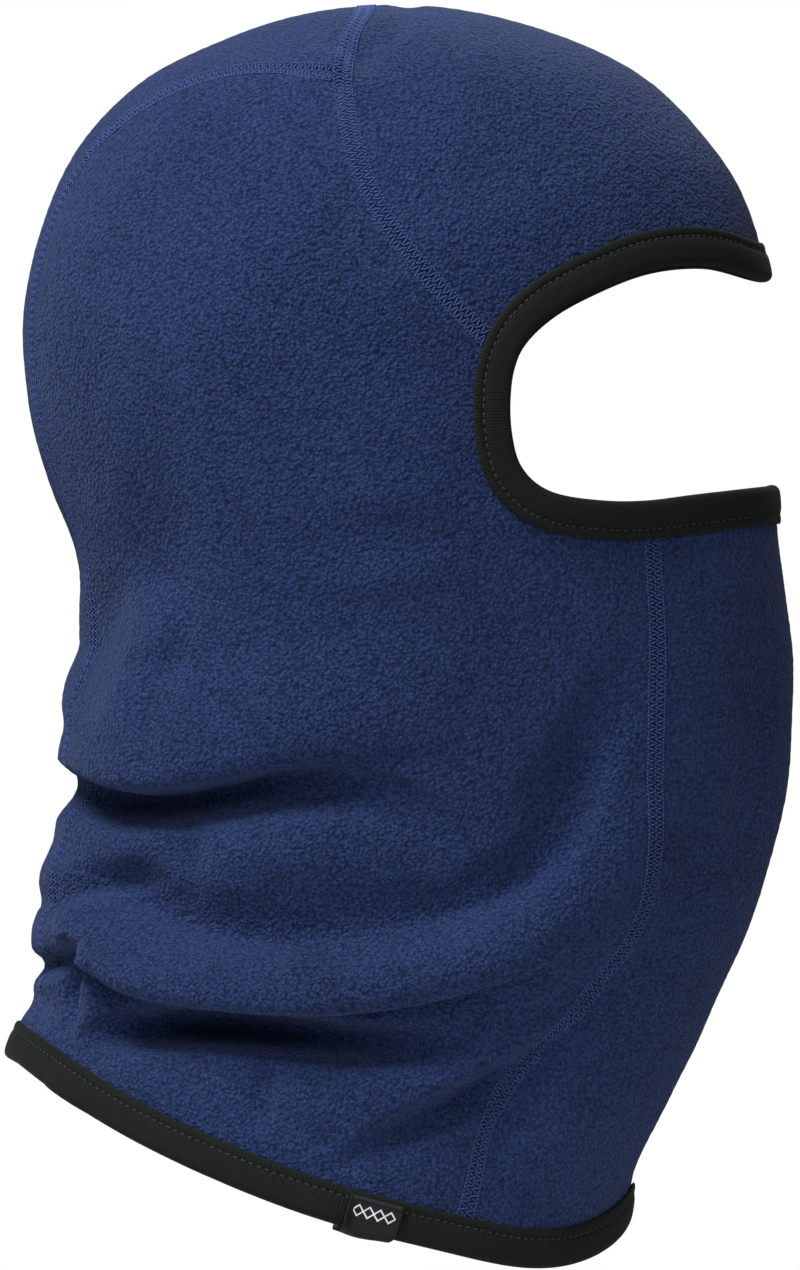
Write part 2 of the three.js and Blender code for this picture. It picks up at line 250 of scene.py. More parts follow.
def foldShift(base, outward):
    drift = np.clip(base[:, 1] / drape["full"], 0, 1) ** 2
    x = base[:, 0] + drift * (drape["alongX"] * np.sin(base[:, 2] / drape["waveZ"]) + drape["shift"])
    z = base[:, 2] + drift * (drape["alongZ"] * np.sin(base[:, 0] / drape["waveX"] + 1) + drape["shift"])
    at = (np.stack([x, z], axis=1) - foldMap["low"]) / foldMap["step"]
    cell = np.clip(np.floor(at).astype(int), 0, np.array(foldMap["cells"]) - 2)
    t = np.clip(at - cell, 0, 1)
    i, j = cell.T
    s, t = t[:, :1], t[:, 1:]
    height = ((1 - s) * (1 - t) * foldHeights[i, j] + s * (1 - t) * foldHeights[i + 1, j]
              + (1 - s) * t * foldHeights[i, j + 1] + s * t * foldHeights[i + 1, j + 1])
    return outward * height[:, :1] + np.column_stack([height[:, 1], np.zeros(len(base)), height[:, 2]])


# lines on the hood
faceOutline = [[112, -66.5], [102, -65], [86, -61], [69, -62.5], [51, -69.5], [38, -77], [28.5, -86.5],
               [23.5, -97.5], [22, -109], [22.8, -121], [25.8, -131.5], [32.5, -140], [42.5, -145.3],
               [57, -147.5], [71, -147.5], [87, -145.5], [108, -143], [116, -142.5]]
foreheadSeam = [[-8, 1.5], [-9, -1.5], [-12.5, -8], [-14.3, -20], [-12.6, -33], [-9.2, -45.6],
                [-1.4, -61], [9.8, -75.6], [23.8, -90.4], [34, -101]]
chinSeam = [[72.5, -141], [72, -148], [73, -185], [71.4, -227], [66.6, -254], [54, -275], [38, -293],
            [27, -309], [22, -327], [18, -341]]
gussetPlan = [[-14, 55.5], [-35, 45.5], [-53, 36.5], [-69, 29], [-85, 22], [-94, 20]]


def bisect(wrong, low, high, rounds=40):
    low, high = low.copy(), high.copy()
    for _ in range(rounds):
        middle = (low + high) / 2
        tooHigh = wrong(middle) > 0
        high = np.where(tooHigh, middle, high)
        low = np.where(tooHigh, low, middle)
    return (low + high) / 2


def ringCos(r, x):
    backX, _, frontX, _, _, _ = sectionAt(r).T
    return np.clip((x - (frontX + backX) / 2) / ((frontX - backX) / 2), -1, 1)


def spotAt(r, c):
    return np.stack([r * c, r * np.sqrt(1 - c * c)], axis=1)


def fromSide(points):
    # The spots, on the wearer's left, that show at these [x, z] places in side view.
    x, z = np.array(points, float).T
    r = bisect(lambda r: z - bareHood(spotAt(r, ringCos(r, x)))[:, 2],
               np.full(len(x), 0.05), np.full(len(x), hem + 0.5))
    return spotAt(r, ringCos(r, x))


def fromPlan(points):
    x, y = np.array(points, float).T
    low = np.abs(x) / 24 * 0.9
    r = bisect(lambda r: bareHood(spotAt(r, ringCos(r, x)))[:, 1] - y, low, np.full(len(x), 7.0))
    return spotAt(r, ringCos(r, x))


def atBack(r, y):
    # The spots on rings r that lie y mm to the left of the middle of the back.
    angle = bisect(lambda a: y - bareHood(np.stack([r * np.cos(a), r * np.sin(a)], axis=1))[:, 1],
                   np.full(len(r), math.pi / 2), np.full(len(r), math.pi))
    return np.stack([r * np.cos(angle), r * np.sin(angle)], axis=1)


def evenly(spots, count):
    # The same line with its spots an equal way apart on the hood.
    place = bareHood(spots)
    run = np.concatenate([[0], np.cumsum(np.linalg.norm(np.diff(place, axis=0), axis=1))])
    at = np.linspace(0, run[-1], count)
    return np.stack([np.interp(at, run, spots[:, k]) for k in range(2)], axis=1)


def mirrored(spots):
    return spots * (1, -1)


def offsetLine(line, by):
    step = np.gradient(line, axis=0)
    step /= np.linalg.norm(step, axis=1)[:, None]
    return line + by * np.stack([-step[:, 1], step[:, 0]], axis=1)


def faceLine(inward):
    # From the middle of the brow round the wearer's left eye to the middle of the chin.
    spots = fromSide(offsetLine(smoothLine(faceOutline, 500), inward))
    spots = spots[spots[:, 1] > 0.4]
    ends = np.hypot(*spots[[0, -1]].T)[:, None] * (1, 0)
    return evenly(np.vstack([ends[:1], spots, ends[1:]]), 200)


foreheadLine = fromSide(smoothLine(foreheadSeam, 300))
crownMiddle = np.array([[foreheadLine[0, 0], 0.0]])
foreheadLine = evenly(np.vstack([crownMiddle, foreheadLine]), 200)
chinLine = evenly(fromSide(smoothLine(chinSeam, 300)), 200)
strapRows = np.linspace(5.35, hem - 0.3, 120)
gussetLine = evenly(np.vstack([fromPlan(smoothLine(gussetPlan, 160)), atBack(strapRows, 20.0)]), 300)


# the worn cloth
def wornHood(spot):
    base = bareHood(spot)
    outward = slopeNormal(bareHood, spot)
    # the hem binding holds the folds flat
    flatter = np.clip((hem - 0.95 - np.hypot(*spot.T)) / 1.2, 0, 1)[:, None]
    x, y, z = base.T
    sway = 0.5 * np.sin(x / 11 + 1.3 * np.sin(z / 15)) * np.sin(z / 13 + y / 17)
    return base + flatter * (foldShift(base, outward) + outward * sway[:, None])


def onHood(spot, out=0.0):
    # Places on the worn hood, `out` mm above the cloth, with the cloth's normals.
    normal = slopeNormal(wornHood, spot)
    return wornHood(spot) + normal * np.reshape(out, (-1, 1)), normal


def along(line, t):
    at = np.linspace(0, 1, len(line))
    return np.stack([np.interp(t, at, line[:, k]) for k in range(2)], axis=1)


def pinned(line, start, end):
    t = np.linspace(0, 1, len(line))[:, None]
    return line + (1 - t) * (start - line[0]) + t * (end - line[-1])


def patch(top, bottom, left, right, u, v):
    # A spot inside four edge lines; u runs from left to right, v from top to bottom.
    top, bottom = pinned(top, left[0], right[0]), pinned(bottom, left[-1], right[-1])
    U, V = u[:, None], v[:, None]
    corners = ((1 - U) * (1 - V) * top[0] + U * (1 - V) * top[-1]
               + (1 - U) * V * bottom[0] + U * V * bottom[-1])
    return ((1 - V) * along(top, u) + V * along(bottom, u)
            + (1 - U) * along(left, v) + U * along(right, v) - corners)


def fan(left, right, u, v):
    # A spot between two edge lines, on a row that runs round the hood from one to the other.
    a, b = along(left, v), along(right, v)
    r = np.hypot(*a.T) * (1 - u) + np.hypot(*b.T) * u
    turn = np.arctan2(a[:, 1], a[:, 0]) * (1 - u) + np.arctan2(b[:, 1], b[:, 0]) * u
    return np.stack([r * np.cos(turn), r * np.sin(turn)], axis=1)


def fanPatch(top, bottom, left, right, u, v):
    # As fan, but with its first and last rows on edge lines too.
    top, bottom = pinned(top, left[0], right[0]), pinned(bottom, left[-1], right[-1])
    start, end = np.zeros(len(u)), np.ones(len(u))
    return (fan(left, right, u, v) + (1 - v)[:, None] * (along(top, u) - fan(left, right, u, start))
            + v[:, None] * (along(bottom, u) - fan(left, right, u, end)))


def gridMesh(name, columns, rows):
    # A flat grid mesh to be shaped, with u and v from 0 to 1 at each of its vertices.
    bm = bmesh.new()
    bmesh.ops.create_grid(bm, x_segments=columns, y_segments=rows, size=1.0)
    mesh = bpy.data.meshes.new(name)
    bm.to_mesh(mesh)
    bm.free()
    flat = np.zeros(len(mesh.vertices) * 3)
    mesh.vertices.foreach_get("co", flat)
    flat = flat.reshape(-1, 3)
    return mesh, (flat[:, 0] + 1) / 2, (1 - flat[:, 1]) / 2


def shape(mesh, place, uv=None):
    mesh.vertices.foreach_set("co", (place * mm).ravel())
    if uv is not None:
        corner = np.zeros(len(mesh.loops), int)
        mesh.loops.foreach_get("vertex_index", corner)
        mesh.uv_layers.new(name="weave").data.foreach_set("uv", (uv[corner] * mm).ravel())
    bm = bmesh.new()
    bm.from_mesh(mesh)
    bmesh.ops.remove_doubles(bm, verts=bm.verts, dist=1e-6)
    bmesh.ops.recalc_face_normals(bm, faces=bm.faces)
    bm.to_mesh(mesh)
    bm.free()


def finish(name, mesh, materials):
    mesh.shade_smooth()
    for material in materials:
        mesh.materials.append(material)
    piece = bpy.data.objects.new(name, mesh)
    bpy.context.scene.collection.objects.link(piece)
    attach(piece, "root")
    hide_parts(name)
    return piece


def wall(piece, thickness, offset):
    layer = piece.modifiers.new("wall", "SOLIDIFY")
    layer.thickness, layer.offset = thickness * mm, offset
    return layer


# materials
def nodeGroup(name, inputs, outputs):
    group = bpy.data.node_groups.new(name, "ShaderNodeTree")
    for label, kind, value in inputs:
        socket = group.interface.new_socket(label, in_out="INPUT", socket_type=kind)
        if value is not None:
            socket.default_value = value
    for label, kind in outputs:
        group.interface.new_socket(label, in_out="OUTPUT", socket_type=kind)
    return group, group.nodes.new("NodeGroupInput"), group.nodes.new("NodeGroupOutput")


def add(tree, kind, links=(), **values):
    node = tree.nodes.new(kind)
    for key, value in values.items():
        if hasattr(node, key):
            setattr(node, key, value)
        else:
            node.inputs[key.replace("_", " ")].default_value = value
    for socket, source in dict(links).items():
        tree.links.new(source, node.inputs[socket])
    return node


def math2(tree, operation, a, b):
    node = tree.nodes.new("ShaderNodeMath")
    node.operation = operation
    for socket, value in zip(node.inputs, (a, b)):
        if hasattr(value, "is_output"):
            tree.links.new(value, socket)
        else:
            socket.default_value = value
    return node.outputs[0]


def mixColours(tree, factor, a, b, blend="MIX"):
    node = tree.nodes.new("ShaderNodeMix")
    node.data_type, node.blend_type = "RGBA", blend
    for label, value in (("Factor", factor), ("A", a), ("B", b)):
        kind = "VALUE" if label == "Factor" else "RGBA"
        socket = next(s for s in node.inputs if s.name == label and s.type == kind)
        if hasattr(value, "is_output"):
            tree.links.new(value, socket)
        else:
            socket.default_value = value
    return next(s for s in node.outputs if s.type == "RGBA")


pile = dict(pebbles=900.0, warp=420.0, shift=0.0016, fibre=1350.0, lumps=330.0, fibreLow=0.36,
            fibreHigh=0.66)


def pileGroup():
    # Fleece pile: small pebbles of tangled fibre, with a height for the bump and a colour value in which
    # the gaps between pebbles are darkened as painted shade, mixed with random fibre speckle.
    group, start, end = nodeGroup("fleecePile", [("Vector", "NodeSocketVector", None),
                                                 ("Pebbles per metre", "NodeSocketFloat", pile["pebbles"])],
                                  [("Height", "NodeSocketFloat"), ("GapShadeAndSpeckle", "NodeSocketFloat")])
    warp = add(group, "ShaderNodeTexNoise", {"Vector": start.outputs[0]}, Scale=pile["warp"], Detail=2.0)
    shift = add(group, "ShaderNodeVectorMath", {0: warp.outputs["Color"]}, operation="SUBTRACT")
    shift.inputs[1].default_value = (0.5, 0.5, 0.5)
    small = add(group, "ShaderNodeVectorMath", {0: shift.outputs[0]}, operation="SCALE")
    small.inputs["Scale"].default_value = pile["shift"]
    moved = add(group, "ShaderNodeVectorMath", {0: start.outputs[0], 1: small.outputs[0]}, operation="ADD")
    cells = add(group, "ShaderNodeTexVoronoi", {"Vector": moved.outputs[0], "Scale": start.outputs[1]},
                feature="SMOOTH_F1", Smoothness=0.35, Randomness=1.0)
    pebble = math2(group, "SUBTRACT", 1.0, cells.outputs["Distance"])
    fibre = add(group, "ShaderNodeTexNoise", {"Vector": start.outputs[0]}, Scale=pile["fibre"], Detail=3.0,
                Roughness=0.65)
    tips = add(group, "ShaderNodeMapRange", {"Value": fibre.outputs[0]})
    tips.inputs["From Min"].default_value = pile["fibreLow"]
    tips.inputs["From Max"].default_value = pile["fibreHigh"]
    lumps = add(group, "ShaderNodeTexNoise", {"Vector": start.outputs[0]}, Scale=pile["lumps"], Detail=2.0)
    height = math2(group, "ADD", math2(group, "MULTIPLY", pebble, 0.75),
                   math2(group, "MULTIPLY", fibre.outputs[0], 0.3))
    height = math2(group, "ADD", height, math2(group, "MULTIPLY", lumps.outputs[0], 0.5))
    # painted shade: the colour value falls towards the gaps between pebbles (one minus the cell distance);
    # the fibre half is random speckle
    shade = math2(group, "ADD", math2(group, "MULTIPLY", pebble, 0.5),
                  math2(group, "MULTIPLY", tips.outputs[0], 0.5))
    group.links.new(height, end.inputs["Height"])
    group.links.new(shade, end.inputs["GapShadeAndSpeckle"])
    return group


def newMaterial(name, **surface):
    material = bpy.data.materials.new(name)
    material.use_nodes = True
    tree = material.node_tree
    shader = tree.nodes["Principled BSDF"]
    for label, value in surface.items():
        shader.inputs[label.replace("_", " ")].default_value = value
    return material, tree, shader


def bumpInto(tree, shader, height, strength, distance):
    bump = add(tree, "ShaderNodeBump", {"Height": height}, Strength=strength, Distance=distance)
    tree.links.new(bump.outputs[0], shader.inputs["Normal"])


fleeceLook = dict(dark=(0.0022, 0.005, 0.018, 1), light=(0.029, 0.054, 0.168, 1), bump=1.0, depth=0.001,
                  shadeLow=0.25, shadeHigh=0.9)


def fleeceMaterial():
    material, tree, shader = newMaterial("navyFleece", Roughness=0.95, Sheen_Weight=0.14,
                                         Sheen_Roughness=0.5,
                                         Specular_IOR_Level=0.1)
    shader.inputs["Sheen Tint"].default_value = (0.35, 0.45, 0.8, 1)
    place = add(tree, "ShaderNodeTexCoord").outputs["Object"]
    nap = add(tree, "ShaderNodeGroup", node_tree=pileGroup())
    tree.links.new(place, nap.inputs["Vector"])
    blotch = add(tree, "ShaderNodeTexNoise", {"Vector": place}, Scale=28.0, Detail=3.0)
    ramp = add(tree, "ShaderNodeMapRange", {"Value": nap.outputs["GapShadeAndSpeckle"]})
    ramp.inputs["From Min"].default_value = fleeceLook["shadeLow"]
    ramp.inputs["From Max"].default_value = fleeceLook["shadeHigh"]
    # painted shade between the pebbles comes in through the pile's colour value; the large blotches are
    # random colour variation
    colourWithGapShade = math2(tree, "ADD", math2(tree, "MULTIPLY", ramp.outputs[0], 0.8),
                 math2(tree, "MULTIPLY", blotch.outputs[0], 0.3))
    colour = mixColours(tree, colourWithGapShade, fleeceLook["dark"], fleeceLook["light"])
    tree.links.new(colour, shader.inputs["Base Color"])
    bumpInto(tree, shader, nap.outputs["Height"], fleeceLook["bump"], fleeceLook["depth"])
    return material


def tapeMaterial():
    # Black stretch knit, its fine ribs across the tape. The piece's own UV map is in metres.
    material, tree, shader = newMaterial("blackKnitTape", Roughness=0.9, Sheen_Weight=0.02,
                                         Sheen_Roughness=0.4, Specular_IOR_Level=0.1)
    uv = add(tree, "ShaderNodeUVMap", uv_map="weave").outputs[0]
    ribs = add(tree, "ShaderNodeTexWave", {"Vector": uv}, wave_type="BANDS", bands_direction="X",
               Scale=330.0, Distortion=2.5, Detail=2.0)
    ribs.inputs["Detail Scale"].default_value = 6.0
    fine = add(tree, "ShaderNodeTexNoise", {"Vector": add(tree, "ShaderNodeTexCoord").outputs["Object"]},
               Scale=2200.0, Detail=3.0)
    height = math2(tree, "ADD", math2(tree, "MULTIPLY", ribs.outputs["Fac"], 0.5), fine.outputs[0])
    colour = mixColours(tree, height, (0.0012, 0.0018, 0.0016, 1), (0.0115, 0.0145, 0.0135, 1))
    tree.links.new(colour, shader.inputs["Base Color"])
    bumpInto(tree, shader, height, 0.5, 0.00025)
    return material


def threadMaterial(name, dark, light):
    material, tree, shader = newMaterial(name, Roughness=0.7, Specular_IOR_Level=0.15)
    place = add(tree, "ShaderNodeTexCoord").outputs["Object"]
    ply = add(tree, "ShaderNodeTexNoise", {"Vector": place}, Scale=1800.0, Detail=2.0)
    tree.links.new(mixColours(tree, ply.outputs[0], dark, light), shader.inputs["Base Color"])
    bumpInto(tree, shader, ply.outputs[0], 0.5, 0.0002)
    return material


def tagMaterial():
    # Fine black satin weave with a light zigzag woven across its upper half.
    material, tree, shader = newMaterial("wovenTag", Roughness=0.75, Specular_IOR_Level=0.2)
    uv = add(tree, "ShaderNodeUVMap", uv_map="weave").outputs[0]
    parts = add(tree, "ShaderNodeSeparateXYZ", {0: uv})
    u, v = parts.outputs["X"], parts.outputs["Y"]
    zigzag = math2(tree, "PINGPONG", u, tagLook["period"] / 2)
    offLine = math2(tree, "SUBTRACT", math2(tree, "SUBTRACT", v, zigzag), tagLook["top"])
    offLine = math2(tree, "ABSOLUTE", offLine, 0)
    offTwin = math2(tree, "SUBTRACT", math2(tree, "ADD", v, zigzag), tagLook["twin"])
    offTwin = math2(tree, "ABSOLUTE", offTwin, 0)
    nearLine = math2(tree, "MINIMUM", offLine, offTwin)
    fromMiddle = math2(tree, "ABSOLUTE", math2(tree, "SUBTRACT", u, tagLook["middle"]), 0)
    inside = math2(tree, "LESS_THAN", fromMiddle, tagLook["reach"])
    mark = math2(tree, "MULTIPLY", math2(tree, "LESS_THAN", nearLine, tagLook["line"]), inside)
    threads = add(tree, "ShaderNodeTexWave", {"Vector": uv}, wave_type="BANDS", bands_direction="DIAGONAL",
                  Scale=900.0, Distortion=0.6)
    cloth = mixColours(tree, threads.outputs["Fac"], (0.003, 0.0034, 0.004, 1), (0.013, 0.014, 0.017, 1))
    tree.links.new(mixColours(tree, mark, cloth, (0.72, 0.73, 0.75, 1)), shader.inputs["Base Color"])
    height = math2(tree, "ADD", threads.outputs["Fac"], math2(tree, "MULTIPLY", mark, 0.8))
    bumpInto(tree, shader, height, 0.5, 0.0002)
    return material


def satinMaterial(name, dark, light):
    material, tree, shader = newMaterial(name, Roughness=0.38, Specular_IOR_Level=0.5)
    uv = add(tree, "ShaderNodeUVMap", uv_map="weave").outputs[0]
    threads = add(tree, "ShaderNodeTexWave", {"Vector": uv}, wave_type="BANDS", bands_direction="X",
                  Scale=700.0, Distortion=0.8)
    tree.links.new(mixColours(tree, threads.outputs["Fac"], dark, light), shader.inputs["Base Color"])
    bumpInto(tree, shader, threads.outputs["Fac"], 0.3, 0.0001)
    return material


# the woven diamonds, in metres along and down the label
tagLook = dict(period=0.0031, top=0.0026, twin=0.0057, line=0.00028, middle=0.00785, reach=0.0062)
fleeceCloth = fleeceMaterial()
wovenTag = tagMaterial()
tagLining = satinMaterial("tagLining", (0.3, 0.31, 0.34, 1), (0.55, 0.56, 0.6, 1))
careSatin = satinMaterial("careSatin", (0.7, 0.7, 0.68, 1), (0.85, 0.85, 0.83, 1))
knitTape = tapeMaterial()
navyThread = threadMaterial("navyThread", (0.019, 0.034, 0.105, 1), (0.06, 0.098, 0.27, 1))
blackThread = threadMaterial("blackThread", (0.014, 0.018, 0.016, 1), (0.06, 0.072, 0.064, 1))
print("materials ready")


# fleece panels
panelLook = dict(quad=1.3, edgeTuck=0.4, pile=0.16, thickness=2.0, rowLean=0.18)


def makePanel(name, rows, size, flat):
    mesh, u, v = gridMesh(name, *(round(length / panelLook["quad"]) for length in size))
    spot = rows(u, v)
    toEdge = np.minimum(np.minimum(u, 1 - u) * size[0], np.minimum(v, 1 - v) * size[1])
    place, normal = onHood(spot, -panelLook["edgeTuck"] * np.clip(1 - toEdge / 2, 0, 1))
    lumps = np.array([noise.noise(Vector(p) * 0.9) + 0.5 * noise.noise(Vector(p) * 2.1) for p in place])
    shape(mesh, place + normal * lumps[:, None] * panelLook["pile"])
    sample = mesh.vertices[len(mesh.vertices) // 2]
    nearest = ((place * mm - np.array(sample.co)) ** 2).sum(axis=1).argmin()
    if sample.normal.dot(Vector(normal[nearest])) < 0:
        mesh.flip_normals()
    piece = finish(name, mesh, [fleeceCloth])
    wall(piece, panelLook["thickness"], -1)
    print(name, "has", len(mesh.vertices), "points")


# how far the cloth runs in under the face binding, mm, and where it ends at the hem, in sections
tuckUnder = 6.0
hemEnd = hem - 0.6
faceEdge = faceLine(tuckUnder)


def cutAt(line, other):
    # Where a line meets another one: the row of the nearest spot on each.
    far = np.linalg.norm(line[:, None, :] - other[None], axis=2)
    return np.unravel_index(far.argmin(), far.shape)


def rim(from_, to):
    # Along the hem between two spots of it.
    a, b = math.atan2(from_[1], from_[0]), math.atan2(to[1], to[0])
    if b - a > math.pi:
        a += 2 * math.pi
    if a - b > math.pi:
        b += 2 * math.pi
    angle = np.linspace(a, b, 160)
    return evenly(hemEnd * np.stack([np.cos(angle), np.sin(angle)], axis=1), 160)


# The spot of a line that is nearest to a ring
def ringAt(line, r):
    return np.abs(np.hypot(line[:, 0], line[:, 1]) - r).argmin()


browCut, browAt = cutAt(foreheadLine, faceEdge)
chinAt = cutAt(faceEdge, chinLine)
chinStart = chinAt[1]
chinHem = ringAt(chinLine, hemEnd)
gussetHem = ringAt(gussetLine, hemEnd)
# where forehead, side and gusset meet
corner = cutAt(foreheadLine, gussetLine[:1])[0]
gussetRun = gussetLine[: gussetHem + 1]
chinRun = chinLine[chinStart: chinHem + 1]
foreheadRun = foreheadLine[corner: browCut + 1]
faceSide = faceEdge[browAt: chinAt[0] + 1]

sideFront = evenly(np.vstack([foreheadRun, faceSide[1:], chinRun[1:]]), 400)
sideBack = evenly(np.vstack([foreheadLine[corner: corner + 1], gussetRun[1:]]), 400)
# its rows lean so that they meet the face opening squarely
rowEnds = np.linspace(0, 1, 400)
sideBack = along(sideBack, rowEnds + panelLook["rowLean"] * np.sin(math.pi * np.clip(rowEnds / 0.9, 0, 1)))


# A line right across the hood from its half on the wearer's left, which starts in the middle
def bothSides(half):
    return evenly(np.vstack([mirrored(half[::-1]), half[1:]]), 200)


crownLine = bothSides(foreheadLine[: corner + 1])
browLine = bothSides(faceEdge[: browAt + 1])
chinTop = bothSides(faceEdge[chinAt[0]:][::-1])[::-1]
chinRim = rim(chinRun[-1], mirrored(chinRun)[-1])
gussetRim = rim(gussetRun[-1], mirrored(gussetRun)[-1])

# Each panel: its rows, how many mm wide and high it is worn, and its flat size and area in metres
sidePanel = dict(size=(172, 330), flat=(0.22, 0.34, 0.052))
makePanel("side_panel_left", lambda u, v: fan(sideBack, sideFront, u, v), **sidePanel)
makePanel("side_panel_right", lambda u, v: fan(mirrored(sideBack), mirrored(sideFront), u, v), **sidePanel)
makePanel("forehead_panel", lambda u, v: patch(crownLine, browLine, mirrored(foreheadRun), foreheadRun,
                                               u, v),
          size=(200, 125), flat=(0.24, 0.15, 0.024))
makePanel("chin_panel", lambda u, v: fanPatch(chinTop, chinRim, chinRun, mirrored(chinRun), u, v),
          size=(135, 205), flat=(0.15, 0.21, 0.028))
makePanel("back_gusset", lambda u, v: patch(crownLine[::-1], gussetRim, gussetRun, mirrored(gussetRun),
                                            u, v),
          size=(70, 345), flat=(0.12, 0.36, 0.02))
print("fleece panels done")


# bindings
tape = dict(thickness=0.8, pitch=2.35, stitchAt=2.5, dent=0.4, spots=900)
# The folded tape in cross-section: [how far from its fleece edge, height over the cloth]
tapeSection = [[0.0, 0.3], [0.3, 0.65], [1.0, 0.8], [1.9, 0.8], [2.5, 0.62], [3.1, 0.82], [4.2, 1.05],
               [6.0, 1.1],
               [8.0, 1.0], [9.2, 0.75], [9.9, 0.1], [10.15, -0.9], [9.9, -2.0], [9.1, -2.7], [7.5, -2.95],
               [5.0, -3.0], [2.5, -2.8], [0.6, -2.7], [0.0, -2.45]]


def lineFrames(spots, closed, out=0.0):
    # Places along a line on the hood with the line's direction, the normal, and the way across it.
    place, normal = onHood(spots, out)
    if closed:
        along = np.roll(place, -1, axis=0) - np.roll(place, 1, axis=0)
    else:
        along = np.gradient(place, axis=0)
    along /= np.linalg.norm(along, axis=1)[:, None]
    across = np.cross(normal, along)
    across /= np.linalg.norm(across, axis=1)[:, None]
    return place, along, normal, across


def makeBinding(name, spots, turn, bulge):
    # Tape folded over a closed edge. `turn` is +1 or -1, the way across the line that leads off the cloth.
    place, _, normal, across = lineFrames(spots, True)
    run = np.concatenate([[0], np.cumsum(np.linalg.norm(np.diff(place, axis=0), axis=1))])
    run = np.append(run, run[-1] + np.linalg.norm(place[0] - place[-1]))
    profile = smoothLine(tapeSection, 40)
    mesh, u, v = gridMesh(name, len(spots), len(profile) - 1)
    i, j = np.rint(u * len(spots)).astype(int), np.rint(v * (len(profile) - 1)).astype(int)
    s, h = profile[j].T
    at = run[i]
    fromStitch = np.clip(1 - abs(s - tape["stitchAt"]) / 1.2, 0, 1) * (h > 0)
    pulled = 0.5 + 0.5 * np.cos(2 * math.pi * at / tape["pitch"])
    h = h - tape["dent"] * pulled * fromStitch + bulge(at, s, place[i % len(spots)]) * (h > 0)
    i %= len(spots)
    shape(mesh, place[i] + across[i] * (turn * s)[:, None] + normal[i] * h[:, None],
          np.stack([at, s + 20.0 * (h < -1)], axis=1))
    piece = finish(name, mesh, [knitTape])
    wall(piece, tape["thickness"], 0)
    print(name, "is", round(run[-1]), "mm round")


def closedLoop(half, count):
    # A closed line made of one half on the wearer's left and its mirror.
    return evenly(np.vstack([half, mirrored(half[::-1])[1:]]), count + 1)[:-1]


faceLoop = closedLoop(faceLine(0), tape["spots"])
halfTurn = np.linspace(0, math.pi, 400)
hemHalf = (hem - 1) * np.stack([np.cos(halfTurn), np.sin(halfTurn)], axis=1)
hemLoop = closedLoop(evenly(hemHalf, 400), tape["spots"])
tag = dict(x=-4.65, width=15.7, thickness=0.35, bulge=0.8)
hemPlaces, hemAlong, hemNormals, hemAcross = lineFrames(hemLoop, True)
tagRow = np.where(hemPlaces[:, 1] < 0, abs(hemPlaces[:, 0] - tag["x"]), 1e9).argmin()


def overTag(at, s, place):
    # The tape bulges where it is stitched over the top of the loop label.
    aside = np.linalg.norm(place - hemPlaces[tagRow], axis=1) / (tag["width"] / 2 + 1.5)
    return tag["bulge"] * np.clip(1 - aside**4, 0, 1) * np.clip(1 - ((s - 1.3) / 2.0) ** 2, 0, 1)


makeBinding("face_binding", faceLoop, -1, lambda at, s, place: 0)
makeBinding("hem_binding", hemLoop, -1, overTag)


# stitches
def stitchMesh(name, place, along, normal, length, thick):
    # One rounded stitch at each place, doubled up from a single one and then laid where it belongs.
    bm = bmesh.new()
    bmesh.ops.create_uvsphere(bm, u_segments=6, v_segments=4, radius=1.0)
    copies, gap = 1, 4.0
    while copies < len(place):
        doubled = bmesh.ops.duplicate(bm, geom=bm.verts[:] + bm.edges[:] + bm.faces[:])["geom"]
        bmesh.ops.translate(bm, verts=[g for g in doubled if isinstance(g, bmesh.types.BMVert)],
                            vec=(copies * gap, 0, 0))
        copies *= 2
    spare = [vert for vert in bm.verts if vert.co.x > (len(place) - 0.5) * gap]
    bmesh.ops.delete(bm, geom=spare, context="VERTS")
    mesh = bpy.data.meshes.new(name)
    bm.to_mesh(mesh)
    bm.free()
    co = np.zeros(len(mesh.vertices) * 3)
    mesh.vertices.foreach_get("co", co)
    co = co.reshape(-1, 3)
    k = np.rint(co[:, 0] / gap).astype(int)
    long, wide, high = co[:, 2:], co[:, 1:2], co[:, :1] - gap * k[:, None]
    side = np.cross(normal, along)
    half, radius = np.reshape(length, (-1, 1)) / 2 * np.ones((len(place), 1)), thick / 2
    laid = place[k] + along[k] * long * half[k] + side[k] * wide * radius + normal[k] * high * radius
    mesh.vertices.foreach_set("co", (laid * mm).ravel())
    return mesh


def steps(spots, pitch):
    place = bareHood(spots)
    run = np.linalg.norm(np.diff(place, axis=0), axis=1).sum()
    return evenly(spots, max(4, round(run / pitch) + 1))


def unit(v):
    return v / np.linalg.norm(v, axis=1)[:, None]


flatSeam = dict(pitch=1.1, half=2.5, thick=0.5, rise=0.12, stitch=0.95)


def makeSeam(name, spots):
    # Flat seam: two outer needle rows, a middle row, and cover threads that cross between them.
    place, along_, normal, across = lineFrames(steps(spots, flatSeam["pitch"]), False, flatSeam["rise"])
    half, thick = flatSeam["half"], flatSeam["thick"]
    zigzag = np.where(np.arange(len(place)) % 2, 1.0, -1.0)[:, None]
    rows = [(place + across * half, unit(along_ + 0.12 * across), flatSeam["stitch"]),
            (place - across * half, unit(along_ + 0.12 * across), flatSeam["stitch"]),
            (place, unit(along_ + 0.45 * across), flatSeam["stitch"])]
    for offset in (-half / 2, half / 2):
        crossing = unit(across + 0.3 * zigzag * along_)
        rows.append((place + across * offset + along_ * 0.5 - normal * 0.06, crossing, half * 1.05))
    mesh = stitchMesh(name, np.vstack([row[0] for row in rows]), np.vstack([row[1] for row in rows]),
                      np.tile(normal, (len(rows), 1)), np.repeat([row[2] for row in rows], len(place)),
                                           thick)
    finish(name, mesh, [navyThread])
    print(name, "has", len(rows) * len(place), "stitches")


def between(line, first, last):
    return line[first: last + 1]


